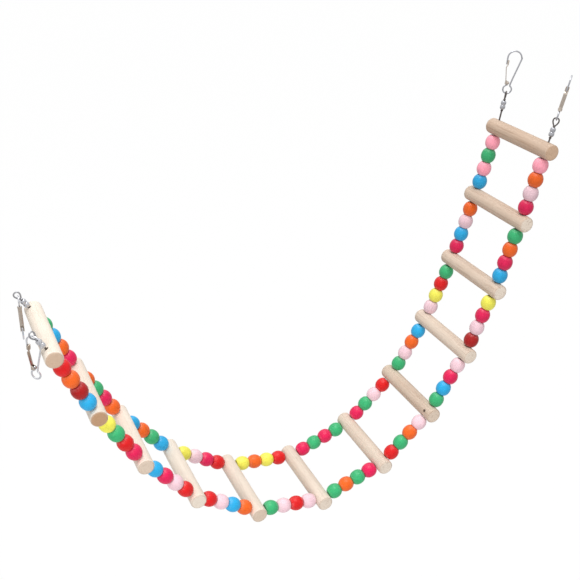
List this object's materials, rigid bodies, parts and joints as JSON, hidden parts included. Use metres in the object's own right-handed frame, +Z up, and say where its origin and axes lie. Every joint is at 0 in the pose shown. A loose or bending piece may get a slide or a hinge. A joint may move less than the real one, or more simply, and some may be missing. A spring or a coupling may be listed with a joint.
{
  "type": "bird ladder",
  "caption": "Flexible hanging bird ladder: wooden rungs and painted wooden beads strung on two bendable steel side wires, with a swivelling snap hook at each corner.",
  "frame": {"origin": "centre of the first rung, at the upper end by which the ladder is held", "axes": "+X along the ladder towards its upper end, +Y along the rungs, +Z up"},
  "size_m": [0.4204, 0.078, 0.3289],
  "materials": {
    "pale_wood": "bare sanded wood",
    "paint_blue": "satin paint",
    "paint_green": "satin paint",
    "paint_yellow": "satin paint",
    "paint_orange": "satin paint",
    "paint_red": "satin paint",
    "paint_magenta": "satin paint",
    "paint_pink": "satin paint",
    "dark_steel": "drawn wire, dull",
    "bright_steel": "nickel plated",
    "sheet_steel": "plated sheet"
  },
  "bodies": {
    "section_01": {"rung_01": "pale_wood", "rung_02": "pale_wood", "side_wire_near": "dark_steel", "side_wire_far": "dark_steel", "barrel_near_right": "bright_steel", "barrel_far_right": "bright_steel"},
    "section_02": {"rung_03": "pale_wood"},
    "section_03": {"rung_04": "pale_wood"},
    "section_04": {"rung_05": "pale_wood"},
    "section_05": {"rung_06": "pale_wood"},
    "section_06": {"rung_07": "pale_wood"},
    "section_07": {"rung_08": "pale_wood"},
    "section_08": {"rung_09": "pale_wood"},
    "section_09": {"rung_10": "pale_wood"},
    "section_10": {"rung_11": "pale_wood"},
    "section_11": {"rung_12": "pale_wood", "barrel_near_left": "bright_steel", "barrel_far_left": "bright_steel"},
    "string_near_01": {"beads_near_01": "paint_pink"},
    "string_near_02": {"beads_near_02": "paint_green"},
    "string_near_03": {"beads_near_03": "paint_yellow"},
    "string_near_04": {"beads_near_04": "paint_pink"},
    "string_near_05": {"beads_near_05": "paint_pink"},
    "string_near_06": {"beads_near_06": "paint_magenta"},
    "string_near_07": {"beads_near_07": "paint_pink"},
    "string_near_08": {"beads_near_08": "paint_orange"},
    "string_near_09": {"beads_near_09": "paint_red"},
    "string_near_10": {"beads_near_10": "paint_magenta"},
    "string_near_11": {"beads_near_11": "paint_blue"},
    "string_far_01": {"beads_far_01": "paint_pink"},
    "string_far_02": {"beads_far_02": "paint_orange"},
    "string_far_03": {"beads_far_03": "paint_green"},
    "string_far_04": {"beads_far_04": "paint_blue"},
    "string_far_05": {"beads_far_05": "paint_red"},
    "string_far_06": {"beads_far_06": "paint_green"},
    "string_far_07": {"beads_far_07": "paint_red"},
    "string_far_08": {"beads_far_08": "paint_red"},
    "string_far_09": {"beads_far_09": "paint_blue"},
    "string_far_10": {"beads_far_10": "paint_orange"},
    "string_far_11": {"beads_far_11": "paint_magenta"},
    "swivel_near_right": {"ring_near_right": "dark_steel"},
    "snap_near_right": {"hook_near_right": "bright_steel"},
    "latch_near_right": {"gate_near_right": "sheet_steel"},
    "swivel_far_right": {"ring_far_right": "dark_steel"},
    "snap_far_right": {"hook_far_right": "bright_steel"},
    "latch_far_right": {"gate_far_right": "sheet_steel"},
    "swivel_near_left": {"ring_near_left": "dark_steel"},
    "snap_near_left": {"hook_near_left": "bright_steel"},
    "latch_near_left": {"gate_near_left": "sheet_steel"},
    "swivel_far_left": {"ring_far_left": "dark_steel"},
    "snap_far_left": {"hook_far_left": "bright_steel"},
    "latch_far_left": {"gate_far_left": "sheet_steel"}
  },
  "joints": [
    {"name": "bend_02", "type": "hinge", "parent": "section_01", "child": "section_02", "pos_m": [-0.01821, 0, -0.05507], "axis": [0, 1, 0], "range_deg": [-30.44, 25.56], "deforming": ["side_wire_near", "side_wire_far"]},
    {"name": "bend_03", "type": "hinge", "parent": "section_02", "child": "section_03", "pos_m": [-0.03876, 0, -0.10931], "axis": [0, 1, 0], "range_deg": [-32.87, 23.13], "deforming": ["side_wire_near", "side_wire_far"]},
    {"name": "bend_04", "type": "hinge", "parent": "section_03", "child": "section_04", "pos_m": [-0.06383, 0, -0.1616], "axis": [0, 1, 0], "range_deg": [-37.21, 18.79], "deforming": ["side_wire_near", "side_wire_far"]},
    {"name": "bend_05", "type": "hinge", "parent": "section_04", "child": "section_05", "pos_m": [-0.09695, 0, -0.20922], "axis": [0, 1, 0], "range_deg": [-43.82, 12.18], "deforming": ["side_wire_near", "side_wire_far"]},
    {"name": "bend_06", "type": "hinge", "parent": "section_05", "child": "section_06", "pos_m": [-0.14181, 0, -0.24599], "axis": [0, 1, 0], "range_deg": [-51.17, 4.83], "deforming": ["side_wire_near", "side_wire_far"]},
    {"name": "bend_07", "type": "hinge", "parent": "section_06", "child": "section_07", "pos_m": [-0.19751, 0, -0.26215], "axis": [0, 1, 0], "range_deg": [-55.06, 0.94], "deforming": ["side_wire_near", "side_wire_far"]},
    {"name": "bend_08", "type": "hinge", "parent": "section_07", "child": "section_08", "pos_m": [-0.25447, 0, -0.2512], "axis": [0, 1, 0], "range_deg": [-52.38, 3.62], "deforming": ["side_wire_near", "side_wire_far"]},
    {"name": "bend_09", "type": "hinge", "parent": "section_08", "child": "section_09", "pos_m": [-0.30182, 0, -0.21771], "axis": [0, 1, 0], "range_deg": [-45.34, 10.66], "deforming": ["side_wire_near", "side_wire_far"]},
    {"name": "bend_10", "type": "hinge", "parent": "section_09", "child": "section_10", "pos_m": [-0.33705, 0, -0.17164], "axis": [0, 1, 0], "range_deg": [-38.36, 17.64], "deforming": ["side_wire_near", "side_wire_far"]},
    {"name": "bend_11", "type": "hinge", "parent": "section_10", "child": "section_11", "pos_m": [-0.36341, 0, -0.11998], "axis": [0, 1, 0], "range_deg": [-33.56, 22.44], "deforming": ["side_wire_near", "side_wire_far"]},
    {"name": "open_gate_near_right", "type": "hinge", "parent": "snap_near_right", "child": "latch_near_right", "pos_m": [0.00947, -0.03162, 0.03047], "axis": [-0.6944, 0.682, 0.2297], "range_deg": [0, 20], "stiffness_Nm_per_rad": 0.0005, "springref_deg": -5.73},
    {"name": "open_gate_far_right", "type": "hinge", "parent": "snap_far_right", "child": "latch_far_right", "pos_m": [0.00747, 0.03143, 0.03563], "axis": [0.4872, 0.866, -0.1125], "range_deg": [0, 20], "stiffness_Nm_per_rad": 0.0005, "springref_deg": -5.73},
    {"name": "open_gate_near_left", "type": "hinge", "parent": "snap_near_left", "child": "latch_near_left", "pos_m": [-0.39698, -0.02799, -0.07412], "axis": [0.6947, 0.7193, 0], "range_deg": [0, 8], "stiffness_Nm_per_rad": 0.0005, "springref_deg": -5.73},
    {"name": "open_gate_far_left", "type": "hinge", "parent": "snap_far_left", "child": "latch_far_left", "pos_m": [-0.39403, 0.03021, -0.05844], "axis": [0.9921, -0.1043, -0.0698], "range_deg": [0, 20], "stiffness_Nm_per_rad": 0.0005, "springref_deg": -5.73},
    {"name": "swing_near_right", "type": "hinge", "parent": "swivel_near_right", "child": "snap_near_right", "pos_m": [0.00849, -0.031, 0.02568], "axis": [0.6944, -0.682, -0.2297], "range_deg": [-80, 80]},
    {"name": "swing_far_right", "type": "hinge", "parent": "swivel_far_right", "child": "snap_far_right", "pos_m": [0.0071, 0.031, 0.03074], "axis": [-0.4872, -0.866, 0.1125], "range_deg": [-80, 80]},
    {"name": "swing_near_left", "type": "hinge", "parent": "swivel_near_left", "child": "snap_near_left", "pos_m": [-0.3944, -0.03048, -0.05473], "axis": [-0.6947, -0.7193, 0], "range_deg": [-40, 5]},
    {"name": "swing_far_left", "type": "hinge", "parent": "swivel_far_left", "child": "snap_far_left", "pos_m": [-0.3936, 0.03102, -0.0536], "axis": [-0.9921, 0.1043, 0.0698], "range_deg": [-25, 50]},
    {"name": "turn_swivel_near_right", "type": "hinge", "parent": "section_01", "child": "swivel_near_right", "pos_m": [0.00557, -0.031, 0.01685], "axis": [0.314, 0, 0.9494], "continuous": true},
    {"name": "turn_swivel_far_right", "type": "hinge", "parent": "section_01", "child": "swivel_far_right", "pos_m": [0.005, 0.031, 0.02168], "axis": [0.225, 0, 0.9744], "continuous": true},
    {"name": "turn_swivel_near_left", "type": "hinge", "parent": "section_11", "child": "swivel_near_left", "pos_m": [-0.39204, -0.031, -0.05266], "axis": [-0.4848, 0, 0.8746], "range_deg": [-12, 12]},
    {"name": "turn_swivel_far_left", "type": "hinge", "parent": "section_11", "child": "swivel_far_left", "pos_m": [-0.39155, 0.031, -0.05354], "axis": [-0.4848, 0, 0.8746], "range_deg": [-12, 12]},
    {"name": "turn_beads_near_01", "type": "hinge", "parent": "section_01", "child": "string_near_01", "pos_m": [-0.00911, -0.031, -0.02753], "axis": [-0.314, 0, -0.9494], "continuous": true},
    {"name": "turn_beads_near_02", "type": "hinge", "parent": "section_02", "child": "string_near_02", "pos_m": [-0.02848, -0.031, -0.08219], "axis": [-0.3542, 0, -0.9352], "continuous": true},
    {"name": "turn_beads_near_03", "type": "hinge", "parent": "section_03", "child": "string_near_03", "pos_m": [-0.0513, -0.031, -0.13546], "axis": [-0.4323, 0, -0.9017], "continuous": true},
    {"name": "turn_beads_near_04", "type": "hinge", "parent": "section_04", "child": "string_near_04", "pos_m": [-0.08039, -0.031, -0.18541], "axis": [-0.5711, 0, -0.8209], "continuous": true},
    {"name": "turn_beads_near_05", "type": "hinge", "parent": "section_05", "child": "string_near_05", "pos_m": [-0.11938, -0.031, -0.22761], "axis": [-0.7733, 0, -0.6341], "continuous": true},
    {"name": "turn_beads_near_06", "type": "hinge", "parent": "section_06", "child": "string_near_06", "pos_m": [-0.16966, -0.031, -0.25407], "axis": [-0.9604, 0, -0.2786], "continuous": true},
    {"name": "turn_beads_near_07", "type": "hinge", "parent": "section_07", "child": "string_near_07", "pos_m": [-0.22599, -0.031, -0.25668], "axis": [-0.982, 0, 0.1888], "continuous": true},
    {"name": "turn_beads_near_08", "type": "hinge", "parent": "section_08", "child": "string_near_08", "pos_m": [-0.27814, -0.031, -0.23446], "axis": [-0.8165, 0, 0.5774], "continuous": true},
    {"name": "turn_beads_near_09", "type": "hinge", "parent": "section_09", "child": "string_near_09", "pos_m": [-0.31944, -0.031, -0.19468], "axis": [-0.6073, 0, 0.7944], "continuous": true},
    {"name": "turn_beads_near_10", "type": "hinge", "parent": "section_10", "child": "string_near_10", "pos_m": [-0.35023, -0.031, -0.14581], "axis": [-0.4546, 0, 0.8907], "continuous": true},
    {"name": "turn_beads_near_11", "type": "hinge", "parent": "section_11", "child": "string_near_11", "pos_m": [-0.37403, -0.031, -0.09299], "axis": [-0.3661, 0, 0.9306], "continuous": true},
    {"name": "turn_beads_far_01", "type": "hinge", "parent": "section_01", "child": "string_far_01", "pos_m": [-0.00911, 0.031, -0.02753], "axis": [-0.314, 0, -0.9494], "continuous": true},
    {"name": "turn_beads_far_02", "type": "hinge", "parent": "section_02", "child": "string_far_02", "pos_m": [-0.02848, 0.031, -0.08219], "axis": [-0.3542, 0, -0.9352], "continuous": true},
    {"name": "turn_beads_far_03", "type": "hinge", "parent": "section_03", "child": "string_far_03", "pos_m": [-0.0513, 0.031, -0.13546], "axis": [-0.4323, 0, -0.9017], "continuous": true},
    {"name": "turn_beads_far_04", "type": "hinge", "parent": "section_04", "child": "string_far_04", "pos_m": [-0.08039, 0.031, -0.18541], "axis": [-0.5711, 0, -0.8209], "continuous": true},
    {"name": "turn_beads_far_05", "type": "hinge", "parent": "section_05", "child": "string_far_05", "pos_m": [-0.11938, 0.031, -0.22761], "axis": [-0.7733, 0, -0.6341], "continuous": true},
    {"name": "turn_beads_far_06", "type": "hinge", "parent": "section_06", "child": "string_far_06", "pos_m": [-0.16966, 0.031, -0.25407], "axis": [-0.9604, 0, -0.2786], "continuous": true},
    {"name": "turn_beads_far_07", "type": "hinge", "parent": "section_07", "child": "string_far_07", "pos_m": [-0.22599, 0.031, -0.25668], "axis": [-0.982, 0, 0.1888], "continuous": true},
    {"name": "turn_beads_far_08", "type": "hinge", "parent": "section_08", "child": "string_far_08", "pos_m": [-0.27814, 0.031, -0.23446], "axis": [-0.8165, 0, 0.5774], "continuous": true},
    {"name": "turn_beads_far_09", "type": "hinge", "parent": "section_09", "child": "string_far_09", "pos_m": [-0.31944, 0.031, -0.19468], "axis": [-0.6073, 0, 0.7944], "continuous": true},
    {"name": "turn_beads_far_10", "type": "hinge", "parent": "section_10", "child": "string_far_10", "pos_m": [-0.35023, 0.031, -0.14581], "axis": [-0.4546, 0, 0.8907], "continuous": true},
    {"name": "turn_beads_far_11", "type": "hinge", "parent": "section_11", "child": "string_far_11", "pos_m": [-0.37403, 0.031, -0.09299], "axis": [-0.3661, 0, 0.9306], "continuous": true}
  ]
}
